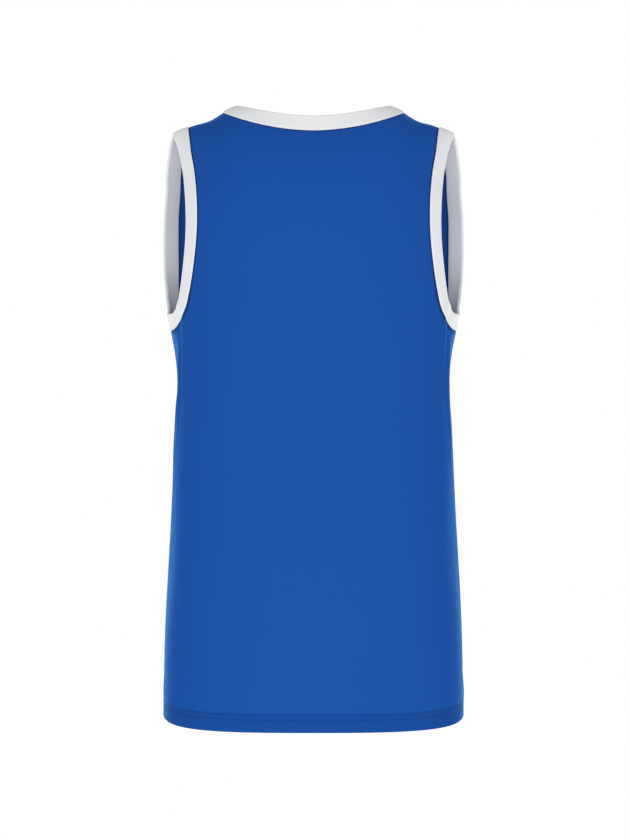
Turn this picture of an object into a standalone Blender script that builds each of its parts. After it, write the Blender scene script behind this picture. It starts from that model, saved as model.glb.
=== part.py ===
"""Sleeveless basketball jersey, filled out with no wearer: two knitted panels and three ribbed bands.

+Z is up, the front faces -Y and the wearer's left is +X. The origin lies midway between the two
shoulder straps, level with their inner faces, which rest on the wearer's shoulders.

Every point of a panel is given by its turn, the angle round the body from the centre line (0) to the
side line (90 degrees), and by its drop, the distance down from the shoulder line. Lengths are in
millimetres until a mesh is made.
"""

from collections import namedtuple

import bpy
import numpy as np

MM = 0.001

# The cloth
WALL = 1.2  # knitted fabric of the two panels
HEM_WALL = 2.4  # the same fabric turned up inside the hem
HEM_DEPTH = 21.0  # from the hem's edge up to where the turning starts to thin out
HEM_STEP = 1.5  # height over which the turning thins out to the single fabric
SEAM_GAP = 0.3  # between sewn pieces
BAND_WIDTH = 20.0
BAND_WALL = 2.2  # ribbed strip folded in two

# Neck and shoulders; heights are measured down from the neck point, the highest point of the garment
NECK_POINT_HEIGHT = 20.0  # of the neck point above the origin
NECK_EDGE_HALF = 95.0  # half the width of the neck opening, edge to edge
NECK_SEAM_HALF = 114.0  # half the width between the neck band's seams, on the shoulders
SHOULDER_SLOPE = 0.444  # fall of the shoulder line for each unit outwards
SHOULDER_EASE = 8.0  # length over which the shoulder line starts to fall
SHOULDER_SAG = 4.0  # how far the strap's cloth hangs in below a straight shoulder
SHOULDER_SAG_PLACE = 131.0  # half-width where it hangs lowest
SHOULDER_SAG_WIDTH = 16.0
SHOULDER_FADE = 260.0  # drop at which the sections are level
NECK_BAND_LEAN = 14.0  # degrees by which the neck band stands up at the centre back
BAND_CURL = 3.2  # how far a band's free edge curls down on the shoulder
ARM_CURL_DROP = 40.0  # drop over which the armhole bands' curl fades
NECK_CURL_WIDTH = 25.0  # distance from the shoulder over which the neck band's curl fades

# Hem
HEM_DROP = 772.5  # at the centre back and the centre front
HEM_RISE = 7.5  # of the hem's edge at the side seams
HEM_RISE_START = 520.0  # drop at which the rows begin to follow that rise
HEM_RISE_POWER = 8  # how late towards the side seam the rise comes

# Depth of the shoulder's rounding, from the shoulder line down to the fullest level, on each panel
CAP_DEPTH = {"back": 200.0, "front": 270.0}

# Level sections of the torso. half_width and reach are measured from the middle of the body to the
# side line and to the centre line. A roundness of 2 is an ellipse, and more is squarer.
Section = namedtuple("Section", "drop half_width reach roundness")
SECTIONS = {
    "back": (
        Section(0, 190, 112, 2.0),
        Section(60, 190, 112, 2.0),
        Section(150, 190, 112, 2.0),
        Section(230, 187, 112, 2.1),
        Section(286, 180, 112, 2.3),
        Section(320, 174.5, 111, 2.4),
        Section(345, 172.5, 110, 2.45),
        Section(372, 173, 108.5, 2.5),
        Section(436, 176, 108, 2.5),
        Section(500, 179, 109, 2.5),
        Section(563, 182, 112, 2.55),
        Section(690, 187, 118, 2.7),
        Section(775, 189, 122, 2.85),
    ),
    "front": (
        Section(0, 190, 120, 2.0),
        Section(60, 230, 120, 2.0),
        Section(120, 280, 120, 2.0),
        Section(168, 280, 120, 2.0),
        Section(200, 252, 120, 2.05),
        Section(230, 217, 120, 2.1),
        Section(258, 193, 120, 2.2),
        Section(286, 180, 120, 2.3),
        Section(320, 174.5, 119, 2.4),
        Section(345, 172.5, 117.5, 2.45),
        Section(372, 173, 116.5, 2.5),
        Section(436, 176, 116, 2.5),
        Section(500, 179, 118, 2.5),
        Section(563, 182, 121, 2.55),
        Section(690, 187, 125, 2.7),
        Section(775, 189, 128, 2.85),
    ),
}

# Neck seam of each panel: its drop at the centre line, the powers that set its fullness, and the
# half-width where the columns that end on it give way to the rows that end on it
NeckCurve = namedtuple("NeckCurve", "drop outer_power inner_power split_half")
NECK = {
    "back": NeckCurve(42.4, 1.8, 1.3, 97.0),
    "front": NeckCurve(150.0, 2.2, 2.0, 85.0),
}

# Armhole seam of each panel, from the shoulder to the underarm, as seen from the front
SeamPoint = namedtuple("SeamPoint", "half_width height")
ARM_SEAM = {
    "back": (
        SeamPoint(159.0, -28.5),
        SeamPoint(153.5, -60.0),
        SeamPoint(146.8, -95.0),
        SeamPoint(143.2, -135.0),
        SeamPoint(143.4, -170.0),
        SeamPoint(147.0, -205.0),
        SeamPoint(152.2, -238.0),
        SeamPoint(159.4, -266.0),
        SeamPoint(168.0, -279.7),
        SeamPoint(180.0, -284.5),
    ),
    "front": (
        SeamPoint(159.0, -28.5),
        SeamPoint(164.0, -42.0),
        SeamPoint(168.5, -60.0),
        SeamPoint(172.5, -84.0),
        SeamPoint(176.0, -120.0),
        SeamPoint(178.0, -160.0),
        SeamPoint(177.6, -195.0),
        SeamPoint(177.3, -225.0),
        SeamPoint(177.5, -252.0),
        SeamPoint(178.4, -273.0),
        SeamPoint(180.0, -284.5),
    ),
}
SEAM_EVEN_STEPS = 50  # reach of the bell that evens out the armhole seam's half-width
SEAM_EVEN_DROPS = (40.0, 80.0, 225.0, 250.0)  # where that comes in and where it goes out again
ARM_SPLIT_DROP = {"back": 268.0, "front": 262.0}  # where the armhole seam turns under the arm

# Degrees by which an armhole band turns in towards the body, by the drop of its seam
Tuck = namedtuple("Tuck", "drop angle")
ARM_TUCK = {
    "back": (
        Tuck(0, -6),
        Tuck(12, 10),
        Tuck(30, 20),
        Tuck(60, 20.5),
        Tuck(85, 16.5),
        Tuck(113, 15),
        Tuck(217, 15),
        Tuck(270, 13),
        Tuck(306, 6),
    ),
    "front": (Tuck(0, -6), Tuck(12, -5), Tuck(30, -3), Tuck(60, 4), Tuck(90, 9), Tuck(217, 8), Tuck(306, 6)),
}

# The largest folds: soft troughs (depth below 0) and ridges. side is 1 on the wearer's left. around
# is measured from the side seam, towards the back above 0 and towards the front below it.
Fold = namedtuple("Fold", "side around top bottom width depth")
FOLDS = (
    Fold(1, 17, 283, 390, 9.0, -3.4),
    Fold(1, 47, 286, 384, 8.0, 2.2),
    Fold(1, 66, 292, 352, 7.5, -1.6),
    Fold(1, -20, 285, 398, 8.0, -3.2),
    Fold(1, -38, 292, 366, 8.0, 2.0),
    Fold(-1, 14, 283, 404, 9.0, -3.6),
    Fold(-1, 43, 284, 392, 8.5, 2.4),
    Fold(-1, 62, 296, 346, 7.0, -1.6),
    Fold(-1, -18, 285, 384, 7.5, -3.0),
    Fold(-1, -37, 290, 356, 8.5, 2.2),
    Fold(1, 40, 420, 700, 22.0, -2.2),
    Fold(1, -44, 450, 720, 24.0, -2.4),
    Fold(-1, 42, 400, 690, 24.0, -2.6),
    Fold(-1, -40, 440, 700, 22.0, -2.0),
)

# Mesh density
CENTRE_COLUMNS = 5
STRAP_COLUMNS = 5
SIDE_COLUMNS = 8
SEAM_COLUMN = 3.0  # width of the narrow column beside a side seam
TOP_ROWS = {"back": 4, "front": 7}
CHEST_ROWS = {"back": 12, "front": 10}
BODY_ROWS = 20
SEAM_ROW_ROOT = 0.35  # square root of the drop of the narrow row beside a shoulder seam
FAN_ROWS = 6  # rows below the underarm that are stretched to end on the armhole seam
HEM_ROWS = 2  # rows of the hem's turning
BAND_FACE_WIDTHS = (9.0, 14.5)  # of the points between a band's two edges
BAND_TIP_POINTS = 3
BAND_EVEN_PASSES = 2  # times that a band's directions are averaged with their neighbours
CURVE_STEPS = 400  # along a seam's curve
FIT_STEPS = 30  # of the search for a point's drop

JERSEY_BLUE = (0.016, 0.091, 0.402, 1.0)
BAND_WHITE = (0.80, 0.81, 0.82, 1.0)


def smooth(at, knots, values, level_start=False, level_end=False):
    """Cubic curve through the values at the knots, level at an end where that is asked for."""
    knots, values = np.asarray(knots, float), np.asarray(values, float)
    slopes = np.gradient(values, knots)
    if level_start:
        slopes[0] = 0.0
    if level_end:
        slopes[-1] = 0.0
    i = np.clip(np.searchsorted(knots, at) - 1, 0, len(knots) - 2)
    span = knots[i + 1] - knots[i]
    t = np.clip((at - knots[i]) / span, 0.0, 1.0)
    start = (1 + 2 * t) * (1 - t) ** 2 * values[i] + t * (1 - t) ** 2 * span * slopes[i]
    end = t**2 * (3 - 2 * t) * values[i + 1] + t**2 * (t - 1) * span * slopes[i + 1]
    return start + end


def shoulder_line(x):
    """Height of the shoulder line: level over the neck, then falling, with a sag in the strap."""
    past_neck = (np.abs(x) - NECK_EDGE_HALF) / SHOULDER_EASE
    sag = SHOULDER_SAG * np.exp(-(((np.abs(x) - SHOULDER_SAG_PLACE) / SHOULDER_SAG_WIDTH) ** 2))
    return -SHOULDER_SLOPE * SHOULDER_EASE * np.log1p(np.exp(past_neck)) - sag


def shoulder_share(drop):
    """How much of the shoulder line's fall a section keeps at this drop."""
    return np.cos(np.pi / 2 * np.clip(drop / SHOULDER_FADE, 0.0, 1.0)) ** 2


def section_at(panel, drop):
    """Half-width, reach and roundness of the panel's section at a drop."""
    table = np.array(SECTIONS[panel], float)
    return [smooth(drop, table[:, 0], table[:, column]) for column in (1, 2, 3)]


def fold_height(side, around, drop):
    """Sum of the folds at a place: a bell across each fold, faded in and out along it."""
    height = np.zeros(np.broadcast(around, drop).shape)
    for fold in FOLDS:
        along = np.clip((drop - fold.top) / (fold.bottom - fold.top), 0.0, 1.0)
        across = np.exp(-(((around - fold.around) / fold.width) ** 2))
        height = height + (side == fold.side) * fold.depth * across * np.sin(np.pi * along) ** 2
    return height


def torso_point(panel, turn, root):
    """Points of the smooth torso, on +X. root is the square root of the drop.

    Each level section is a superellipse, whose reach is rounded off towards the shoulder line by
    a quarter ellipse, and whose height follows the shoulder line near the top.
    """
    drop = root**2
    half_width, reach, roundness = section_at(panel, drop)
    sine, cosine = np.sin(turn), np.cos(turn)
    spread = (np.abs(sine) ** roundness + np.abs(cosine) ** roundness) ** (-1 / roundness)
    depth = CAP_DEPTH[panel]
    cap = np.sqrt(1 - (1 - np.clip(drop / depth, 0.0, 1.0)) ** 2)
    x = half_width * spread * sine
    y = reach * cap * spread * cosine + SEAM_GAP / 2
    z = NECK_POINT_HEIGHT + shoulder_line(x) * shoulder_share(drop) - drop
    return np.stack([x, y if panel == "back" else -y, z], axis=-1)


def torso_normal(panel, turn, root):
    """Outward unit normals of the smooth torso, on +X."""
    step = 0.002
    across = torso_point(panel, turn + step, root) - torso_point(panel, turn - step, root)
    down = torso_point(panel, turn, root + step) - torso_point(panel, turn, np.maximum(root - step, 0))
    normal = np.cross(across, down) * (-1 if panel == "front" else 1)
    return normal / np.linalg.norm(normal, axis=-1, keepdims=True)


def cloth(panel, side, turn, drop):
    """Outer points and normals of a panel's cloth, folds included. side is 1 on the wearer's left."""
    root = np.sqrt(drop)
    normal = torso_normal(panel, turn, root)
    reach = section_at(panel, drop)[1]
    around = (np.pi / 2 - turn) * reach * (1 if panel == "back" else -1)
    point = torso_point(panel, turn, root) + normal * fold_height(side, around, drop)[..., None]
    return point * (side, 1, 1), normal * (side, 1, 1)


def place_on_torso(panel, x, height):
    """Turn and drop of the torso's point at a half-width and a height, as seen from the front."""
    drop = -height
    for _ in range(FIT_STEPS):
        drop = np.maximum(shoulder_line(x) * shoulder_share(drop) - height, 0.0)
    half_width, _, roundness = section_at(panel, drop)
    share = np.clip(x / half_width, 0.0, 1.0)
    return np.arctan2(share, (1 - share**roundness) ** (1 / roundness)), drop


def neck_seam(panel):
    """Turn and drop along the neck seam, from the centre line to the shoulder."""
    curve = NECK[panel]
    share = np.sin(np.linspace(0, np.pi / 2, CURVE_STEPS))
    shoulder = float(shoulder_line(NECK_SEAM_HALF))
    fullness = (1 - share**curve.outer_power) ** (1 / curve.inner_power)
    return place_on_torso(panel, NECK_SEAM_HALF * share, shoulder - (curve.drop + shoulder) * fullness)


def arm_seam(panel):
    """Turn and drop along the armhole seam, from the shoulder to the underarm."""
    table = np.array(ARM_SEAM[panel], float)
    turn, drop = place_on_torso(panel, table[:, 0], table[:, 1])
    turn[-1], drop[0] = np.pi / 2, 0.0
    root = np.sqrt(drop)
    points = torso_point(panel, turn, root)
    length = np.append(0, np.cumsum(np.linalg.norm(np.diff(points, axis=0), axis=1)))
    at = np.linspace(0, length[-1], CURVE_STEPS)
    turn = smooth(at, length, turn, level_start=True)
    root = smooth(at, length, root, level_end=True)
    return even_seam(panel, turn, root)


def even_seam(panel, turn, root):
    """The seam with its half-width averaged under a bell, away from its two ends."""
    x, _, height = torso_point(panel, turn, root).T
    bell = np.exp(-(np.linspace(-2, 2, 2 * SEAM_EVEN_STEPS + 1) ** 2))
    even = np.convolve(np.pad(x, SEAM_EVEN_STEPS, mode="edge"), bell / bell.sum(), mode="valid")
    share = smooth(root**2, SEAM_EVEN_DROPS, (0, 1, 1, 0), level_start=True, level_end=True)
    share = np.clip(share, 0, 1)
    even_turn, even_drop = place_on_torso(panel, x + (even - x) * share, height - NECK_POINT_HEIGHT)
    return np.where(share > 0, even_turn, turn), np.where(share > 0, even_drop, root**2)


def row_drops(panel, neck_split, arm_split):
    """Drops of the rows from the hem's edge up to the shoulder line."""
    body = np.linspace(HEM_DROP - HEM_DEPTH - HEM_STEP, arm_split, BODY_ROWS + 1)
    chest = np.linspace(arm_split, neck_split, CHEST_ROWS[panel] + 1)[1:]
    top = np.linspace(np.sqrt(neck_split), SEAM_ROW_ROOT, TOP_ROWS[panel] + 1)[1:] ** 2
    return np.concatenate([[HEM_DROP, HEM_DROP - HEM_DEPTH], body, chest, top, [0.0]])


def panel_grid(panel):
    """Turns and drops of half a panel's grid, by column and row, with nan where it has no cloth.

    The centre columns end on the neck seam, the strap columns on the shoulder seam and the side
    columns on the armhole seam. The grid's two inner column lines run on into the neck seam and
    the armhole seam. The column and row where each of them meets its seam come after the grid.
    """
    neck_turn, neck_drop = neck_seam(panel)
    arm_turn, arm_drop = arm_seam(panel)
    split_angle = np.arcsin(NECK[panel].split_half / NECK_SEAM_HALF)
    neck_split = round(split_angle / (np.pi / 2) * (CURVE_STEPS - 1))
    arm_split = int(np.searchsorted(arm_drop, ARM_SPLIT_DROP[panel]))
    rows = row_drops(panel, neck_drop[neck_split], arm_drop[arm_split])
    arm_row = HEM_ROWS + BODY_ROWS
    neck_row = arm_row + CHEST_ROWS[panel]
    neck_column, arm_column = CENTRE_COLUMNS, CENTRE_COLUMNS + STRAP_COLUMNS
    last_column = arm_column + SIDE_COLUMNS
    turn = np.full((last_column + 1, len(rows)), np.nan)
    drop = np.full_like(turn, np.nan)

    # The two inner column lines
    left = np.interp(rows, neck_drop[::-1], neck_turn[::-1])
    left[: neck_row + 1] = neck_turn[neck_split]
    right = np.interp(rows, arm_drop, arm_turn)
    right[: arm_row + 1] = arm_turn[arm_split]
    share = np.linspace(0, 1, STRAP_COLUMNS + 1)[:, None]
    turn[neck_column : arm_column + 1] = left + (right - left) * share
    drop[neck_column : arm_column + 1] = rows

    # Centre columns, whose rows above the armhole's split are stretched to end on the neck seam
    for column in range(neck_column):
        own = neck_turn[neck_split] * column / neck_column
        end = np.interp(own, neck_turn, neck_drop)
        low, high = rows[arm_row], rows[neck_row]
        reached = np.clip((low - rows[: neck_row + 1]) / (low - high), 0, 1)
        turn[column, : neck_row + 1] = own
        drop[column, : neck_row + 1] = rows[: neck_row + 1] + (end - high) * reached

    # Side columns, whose rows above the waist are stretched to end on the armhole seam
    seam_turn = SEAM_COLUMN / SECTIONS[panel][0].reach
    sides = np.linspace(arm_turn[arm_split], np.pi / 2 - seam_turn, SIDE_COLUMNS)[1:]
    for column, own in enumerate(np.append(sides, np.pi / 2), arm_column + 1):
        end = np.interp(own, arm_turn[arm_split:], arm_drop[arm_split:])
        low, high = rows[arm_row - FAN_ROWS], rows[arm_row]
        reached = np.clip((low - rows[: arm_row + 1]) / (low - high), 0, 1)
        turn[column, : arm_row + 1] = own
        drop[column, : arm_row + 1] = rows[: arm_row + 1] + (end - high) * reached

    sideways = np.sin(turn) ** HEM_RISE_POWER
    lowness = np.clip((drop - HEM_RISE_START) / (HEM_DROP - HEM_RISE_START), 0, 1)
    return turn, drop - HEM_RISE * sideways * lowness, (neck_column, neck_row), (arm_column, arm_row)


def material(name, colour, roughness):
    """Plain fabric."""
    made = bpy.data.materials.new(name)
    made.use_nodes = True
    shader = made.node_tree.nodes["Principled BSDF"]
    shader.inputs["Base Color"].default_value = colour
    shader.inputs["Roughness"].default_value = roughness
    shader.inputs["Metallic"].default_value = 0.0
    made.diffuse_color = colour
    return made


def mesh_object(name, points, faces, finish, collection):
    """Object with the given points, in millimetres, and faces."""
    mesh = bpy.data.meshes.new(name)
    mesh.from_pydata((points * MM).tolist(), [], faces.tolist())
    mesh.materials.append(finish)
    mesh.shade_smooth()
    made = bpy.data.objects.new(name, mesh)
    collection.objects.link(made)
    return made


def make_panel(panel, collection):
    """One panel: an open sheet across both halves of the body, given its wall by Solidify."""
    turn, drop, _, _ = panel_grid(panel)
    there = ~np.isnan(turn)
    filled = np.where(there, turn, 0.0), np.where(there, drop, 0.0)
    left_half, _ = cloth(panel, 1, *filled)
    right_half, _ = cloth(panel, -1, *filled)
    points = np.concatenate([right_half[:0:-1], left_half])
    there = np.concatenate([there[:0:-1], there])
    number = np.where(there, np.cumsum(there.ravel()).reshape(there.shape) - 1, -1)
    corners = [number[:-1, :-1], number[1:, :-1], number[1:, 1:], number[:-1, 1:]]
    faces = np.stack(corners, axis=-1).reshape(-1, 4)
    faces = faces[(faces >= 0).all(axis=1)]
    if panel == "back":
        faces = faces[:, ::-1]
    finish = material(f"{panel}_knit", JERSEY_BLUE, 0.6)
    made = mesh_object(f"{panel}_panel", points[there], faces, finish, collection)

    hem = made.vertex_groups.new(name="wall")
    hem_rows = np.zeros(there.shape, bool)
    hem_rows[:, :HEM_ROWS] = True
    hem.add(range(len(made.data.vertices)), WALL / HEM_WALL, "REPLACE")
    hem.add(number[there & hem_rows].tolist(), 1.0, "REPLACE")
    wall = made.modifiers.new("wall", "SOLIDIFY")
    wall.thickness = HEM_WALL * MM
    wall.offset = -1.0
    wall.vertex_group = hem.name
    wall.use_quality_normals = True
    return made


def band_section():
    """Outline of a folded band across its width: its seam side is square, its free side round."""
    half = BAND_WALL / 2
    tip = np.linspace(-np.pi / 2, np.pi / 2, BAND_TIP_POINTS + 2)
    face = np.append(SEAM_GAP, BAND_FACE_WIDTHS)
    flat = np.full(len(face), half)
    width = np.concatenate([face, BAND_WIDTH - half + half * np.cos(tip), face[::-1]])
    return width, np.concatenate([-flat, half * np.sin(tip), flat])


def evened(directions):
    """Directions round a closed ring, averaged with their neighbours and brought to length 1."""
    for _ in range(BAND_EVEN_PASSES):
        directions = (np.roll(directions, 1, axis=0) + 2 * directions + np.roll(directions, -1, axis=0)) / 4
    return directions / np.linalg.norm(directions, axis=1, keepdims=True)


def make_band(name, points, normals, lean, curl, collection):
    """A band along a closed seam: its outline carried round the middle of the seam's edge.

    At each point the outline lies in the plane of the panel's normal and of the direction across
    the seam, into the opening. lean turns it outwards from the panel's surface, and curl is how far
    its free edge bends down, by the cube of the width.
    """
    middle = points - normals * WALL / 2
    normals = evened(normals)
    along = np.roll(points, -1, axis=0) - np.roll(points, 1, axis=0)
    inward = np.cross(normals, along)
    inward /= np.linalg.norm(inward, axis=1, keepdims=True)
    if np.sum(inward * (points.mean(axis=0) - points)) < 0:
        inward = -inward
    sine, cosine = np.sin(lean)[:, None], np.cos(lean)[:, None]
    across = evened(inward * cosine + normals * sine)
    upward = evened(normals * cosine - inward * sine)
    width, height = band_section()
    height = height - curl[:, None] * (width / BAND_WIDTH) ** 3
    ring = middle[:, None] + across[:, None] * width[:, None] + upward[:, None] * height[..., None]
    count, around = ring.shape[:2]
    number = np.arange(count * around).reshape(count, around)
    ahead = np.roll(number, -1, axis=0)
    corners = [number, ahead, np.roll(ahead, -1, axis=1), np.roll(number, -1, axis=1)]
    faces = np.stack(corners, axis=-1).reshape(-1, 4)
    if np.sum(np.cross(along, inward) * normals) > 0:
        faces = faces[:, ::-1]
    finish = material(f"{name}_rib", BAND_WHITE, 0.7)
    made = mesh_object(name, ring.reshape(-1, 3), faces, finish, collection)
    made.data.set_sharp_from_angle(angle=np.radians(50))
    return made


def seam_points(panel, side, turn, drop):
    """Outer points and normals along a seam, moved back onto the plane between the panels."""
    points, normals = cloth(panel, side, turn, drop)
    shift = SEAM_GAP / 2 * (-1 if panel == "back" else 1)
    return points + (0, shift, 0), normals


def make_neck_band(collection):
    """The neck band, once round the neck from the centre back."""
    stretches = []
    for panel in ("back", "front"):
        turn, drop, (column, row), _ = panel_grid(panel)
        seam_turn = np.append(turn[:column, row], turn[column, row:])
        seam_drop = np.append(drop[:column, row], drop[column, row:])
        for side in (1, -1):
            points, normals = seam_points(panel, side, seam_turn, seam_drop)
            upright = NECK_BAND_LEAN if panel == "back" else 0.0
            half = np.abs(points[:, 0])
            lean = np.radians(upright) * np.cos(np.pi / 2 * half / NECK_SEAM_HALF)
            curl = BAND_CURL * np.exp(-(((NECK_SEAM_HALF - half) / NECK_CURL_WIDTH) ** 2))
            stretches.append((points, normals, lean, curl))
    back_left, back_right, front_left, front_right = stretches
    # Each stretch leaves out the point that the next one starts with
    ring = [
        [part[:-1] for part in back_left],
        [part[:0:-1] for part in front_left],
        [part[:-1] for part in front_right],
        [part[:0:-1] for part in back_right],
    ]
    return make_band("neck_band", *(np.concatenate(parts) for parts in zip(*ring)), collection)


def make_armhole_band(name, side, collection):
    """An armhole band, once round the armhole from the underarm."""
    ring = []
    for panel in ("back", "front"):
        turn, drop, _, (column, row) = panel_grid(panel)
        seam_turn = np.append(turn[: column : -1, row], turn[column, row:])
        seam_drop = np.append(drop[: column : -1, row], drop[column, row:])
        points, normals = seam_points(panel, side, seam_turn, seam_drop)
        lean = -np.radians(smooth(seam_drop, *np.array(ARM_TUCK[panel], float).T))
        curl = BAND_CURL * np.exp(-((seam_drop / ARM_CURL_DROP) ** 2))
        way = slice(None, -1) if panel == "back" else slice(None, 0, -1)
        ring.append([values[way] for values in (points, normals, lean, curl)])
    return make_band(name, *(np.concatenate(parts) for parts in zip(*ring)), collection)


def main():
    for old in list(bpy.data.objects):
        bpy.data.objects.remove(old, do_unlink=True)
    jersey = bpy.data.collections.new("basketball_jersey")
    bpy.context.scene.collection.children.link(jersey)
    make_panel("back", jersey)
    make_panel("front", jersey)
    make_neck_band(jersey)
    make_armhole_band("armhole_band_left", 1, jersey)
    make_armhole_band("armhole_band_right", -1, jersey)


main()
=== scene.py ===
"""Looks of a sleeveless basketball jersey, filled out with no wearer.

Two knitted panels, three bands of folded rib, the seams between them and the stitching of the hem
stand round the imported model. +Z is up, the front faces -Y and the wearer's left is +X. Lengths are
in millimetres until a mesh is made.

Every point of a panel is given by its turn, the angle round the body from the centre line (0) to the
side line (90 degrees), and by its drop, the distance down from the shoulder line.
"""

from collections import namedtuple

import bpy
import numpy as np
from bpy.props import FloatProperty, FloatVectorProperty, PointerProperty
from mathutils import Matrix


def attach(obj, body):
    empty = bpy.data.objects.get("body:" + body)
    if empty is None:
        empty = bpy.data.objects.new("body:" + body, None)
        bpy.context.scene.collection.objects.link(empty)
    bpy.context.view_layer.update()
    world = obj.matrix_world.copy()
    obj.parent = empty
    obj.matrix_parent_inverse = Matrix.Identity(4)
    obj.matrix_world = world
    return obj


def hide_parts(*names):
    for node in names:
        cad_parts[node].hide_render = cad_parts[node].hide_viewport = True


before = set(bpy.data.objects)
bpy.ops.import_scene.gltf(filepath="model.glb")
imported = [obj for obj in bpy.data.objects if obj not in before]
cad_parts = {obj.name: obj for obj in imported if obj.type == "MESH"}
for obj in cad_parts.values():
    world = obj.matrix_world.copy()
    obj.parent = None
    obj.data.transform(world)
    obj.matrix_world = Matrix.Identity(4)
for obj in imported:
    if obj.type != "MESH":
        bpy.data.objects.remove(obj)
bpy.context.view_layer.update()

bl_info = {
    "name": "Basketball jersey",
    "version": (1, 0, 0),
    "blender": (4, 5, 0),
    "location": "View3D > Sidebar > Jersey",
    "description": "Knit, rib bands, seams and stitching of a basketball jersey with no wearer",
    "category": "Object",
}

MM = 0.001
BODY = "root"
PANELS = ("back", "front")

# ---- The garment's form, as in the part's source ----

SEAM_GAP = 0.3
BAND_WIDTH = 20.0
BAND_WALL = 2.2
PANEL_WALL = 1.2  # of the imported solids, which the bands are centred on
NECK_POINT_HEIGHT = 20.0
NECK_EDGE_HALF = 95.0
NECK_SEAM_HALF = 114.0
SHOULDER_SLOPE = 0.444
SHOULDER_EASE = 8.0
SHOULDER_SAG = 4.0
SHOULDER_SAG_PLACE = 131.0
SHOULDER_SAG_WIDTH = 16.0
SHOULDER_FADE = 260.0
HEM_DROP = 772.5
HEM_RISE = 7.5
HEM_RISE_START = 520.0
HEM_RISE_POWER = 8
CAP_DEPTH = {"back": 200.0, "front": 270.0}

# Level sections round the body, column by column
Sections = namedtuple("Sections", "drop half_width reach roundness")
SECTIONS = {
    "back": Sections(
        (0, 60, 150, 230, 286, 320, 345, 372, 436, 500, 563, 690, 775),
        (190, 190, 190, 187, 180, 174.5, 172.5, 173, 176, 179, 182, 187, 189),
        (112, 112, 112, 112, 112, 111, 110, 108.5, 108, 109, 112, 118, 122),
        (2.0, 2.0, 2.0, 2.1, 2.3, 2.4, 2.45, 2.5, 2.5, 2.5, 2.55, 2.7, 2.85),
    ),
    "front": Sections(
        (0, 60, 120, 168, 200, 230, 258, 286, 320, 345, 372, 436, 500, 563, 690, 775),
        (190, 230, 280, 280, 252, 217, 193, 180, 174.5, 172.5, 173, 176, 179, 182, 187, 189),
        (120, 120, 120, 120, 120, 120, 120, 120, 119, 117.5, 116.5, 116, 118, 121, 125, 128),
        (2.0, 2.0, 2.0, 2.0, 2.05, 2.1, 2.2, 2.3, 2.4, 2.45, 2.5, 2.5, 2.5, 2.55, 2.7, 2.85),
    ),
}

NeckCurve = namedtuple("NeckCurve", "drop outer_power inner_power split_half")
NECK = {
    "back": NeckCurve(42.4, 1.8, 1.3, 97.0),
    "front": NeckCurve(150.0, 2.2, 2.0, 85.0),
}

ArmSeam = namedtuple("ArmSeam", "half_width height")
ARM_SEAM = {
    "back": ArmSeam(
        (159.0, 153.5, 146.8, 143.2, 143.4, 147.0, 152.2, 159.4, 168.0, 180.0),
        (-28.5, -60.0, -95.0, -135.0, -170.0, -205.0, -238.0, -266.0, -279.7, -284.5),
    ),
    "front": ArmSeam(
        (159.0, 164.0, 168.5, 172.5, 176.0, 178.0, 177.6, 177.3, 177.5, 178.4, 180.0),
        (-28.5, -42.0, -60.0, -84.0, -120.0, -160.0, -195.0, -225.0, -252.0, -273.0, -284.5),
    ),
}
ARM_SPLIT_DROP = {"back": 268.0, "front": 262.0}
SEAM_EVEN_STEPS = 50  # reach of the bell that evens out the armhole seam's half-width
SEAM_EVEN_DROPS = (40.0, 80.0, 225.0, 250.0)  # where that comes in and where it goes out again

# Degrees by which an armhole band turns in towards the body, by the drop of its seam
Tuck = namedtuple("Tuck", "drop angle")
ARM_TUCK = {
    "back": Tuck((0, 12, 30, 60, 85, 113, 217, 270, 306), (-6, 10, 20, 20.5, 16.5, 15, 15, 13, 6)),
    "front": Tuck((0, 12, 30, 60, 90, 217, 306), (-6, -5, -3, 4, 9, 8, 6)),
}
NECK_BAND_LEAN = {"back": 14.0, "front": 0.0}  # degrees off the cloth, at the centre line
BAND_CURL = 3.2  # how far a band's free edge curls down on the shoulder
ARM_CURL_DROP = 40.0  # drop over which the armhole bands' curl fades
NECK_CURL_WIDTH = 25.0  # distance from the shoulder over which the neck band's curl fades

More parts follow.
